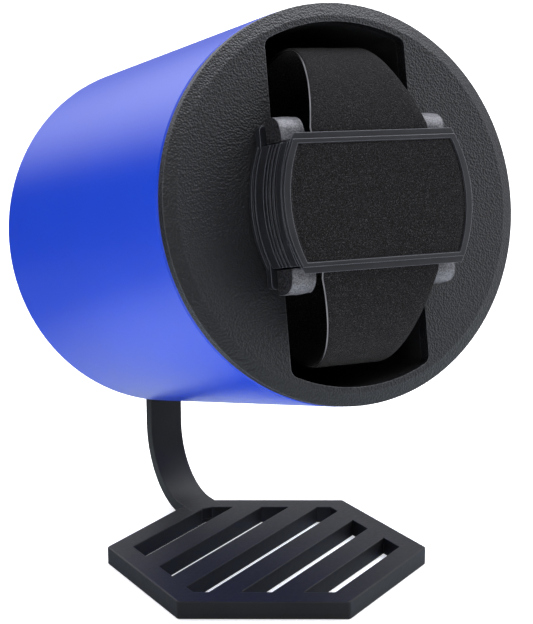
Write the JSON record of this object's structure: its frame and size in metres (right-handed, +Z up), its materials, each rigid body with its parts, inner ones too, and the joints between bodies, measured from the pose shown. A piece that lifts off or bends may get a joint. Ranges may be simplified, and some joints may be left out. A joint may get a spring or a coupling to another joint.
{
  "type": "watch winder",
  "caption": "Tilted watch winder drum with an oval cuff in a slotted rotor face, on a curved arm over a hexagonal slatted base.",
  "frame": {"origin": "centre of the hexagonal base's underside, on the surface it stands on", "axes": "+Z up, the rotor faces -Y and tilts up, +X to the right as seen from the front"},
  "size_m": [0.1, 0.1373, 0.1578],
  "materials": {
    "powder_black": "matte",
    "blue_metal": "satin",
    "pebble_black": "pebble grain",
    "black_plastic": "matte",
    "grey_plastic": "satin",
    "felt_black": "felt",
    "foam_grey": "velvet",
    "steel": "brushed",
    "plate_metal": "satin",
    "board_green": "satin",
    "chip_black": "matte",
    "rubber_black": "matte"
  },
  "bodies": {
    "stand": {"base_grid": "powder_black", "foot_pads": "rubber_black", "stand_arm": "powder_black", "arm_root_screws": "steel", "arm_spacer": "black_plastic", "arm_nut_plate": "steel", "arm_bolts": "steel", "drum_shell": "blue_metal", "rear_cap": "black_plastic", "rear_cap_screws": "steel", "posts": "plate_metal", "motor_plate": "plate_metal", "motor_plate_screws": "steel", "bearing_outer_rings": "steel", "bearing_balls": "steel", "motor": "steel", "motor_screws": "steel", "drive_belt": "rubber_black", "control_board": "board_green", "board_chips": "chip_black", "board_capacitors": "chip_black", "board_connector": "black_plastic", "rotary_switches": "black_plastic", "power_inlet": "black_plastic", "inlet_nut": "steel"},
    "rotor": {"rotor_face": "pebble_black", "rotor_well": "black_plastic", "rotor_screws": "steel", "well_lining": "felt_black", "rotor_hub": "plate_metal", "hub_screws": "steel", "shaft_clip": "steel", "driven_pulley": "black_plastic", "bearing_inner_rings": "steel", "bearing_spacer": "steel"},
    "motor_drive": {"motor_shaft": "steel", "motor_pulley": "black_plastic"},
    "cuff": {"cuff_band": "felt_black", "cuff_back_plate": "grey_plastic", "cuff_middle_plate": "grey_plastic", "cuff_ridge_plate": "grey_plastic", "cuff_frame": "grey_plastic", "cuff_pad": "felt_black", "cuff_screws": "steel", "cuff_tongue": "black_plastic", "foam_upper_left": "foam_grey", "foam_lower_left": "foam_grey", "foam_upper_right": "foam_grey", "foam_lower_right": "foam_grey"},
    "mode_control": {"mode_shaft": "steel", "mode_knob": "black_plastic"},
    "direction_control": {"direction_shaft": "steel", "direction_knob": "black_plastic"}
  },
  "joints": [
    {"name": "rotor_spin", "type": "hinge", "parent": "stand", "child": "rotor", "pos_m": [0, -0.03906, 0.10862], "axis": [0, -0.9723, 0.2338], "continuous": true},
    {"name": "motor_spin", "type": "hinge", "parent": "stand", "child": "motor_drive", "pos_m": [0, 0.02661, 0.06095], "axis": [0, -0.9723, 0.2338], "continuous": true},
    {"name": "cuff_slide", "type": "slide", "parent": "rotor", "child": "cuff", "axis": [0, -0.9723, 0.2338], "range_m": [0, 0.06]},
    {"name": "mode_turn", "type": "hinge", "parent": "stand", "child": "mode_control", "pos_m": [0.026, 0.0663, 0.09768], "axis": [0, 0.9723, -0.2338], "range_deg": [0, 120]},
    {"name": "direction_turn", "type": "hinge", "parent": "stand", "child": "direction_control", "pos_m": [-0.026, 0.0663, 0.09768], "axis": [0, 0.9723, -0.2338], "range_deg": [-30, 30]}
  ],
  "couplings": [
    {"joint": "motor_spin", "follows": "rotor_spin", "ratio": 3.5}
  ]
}
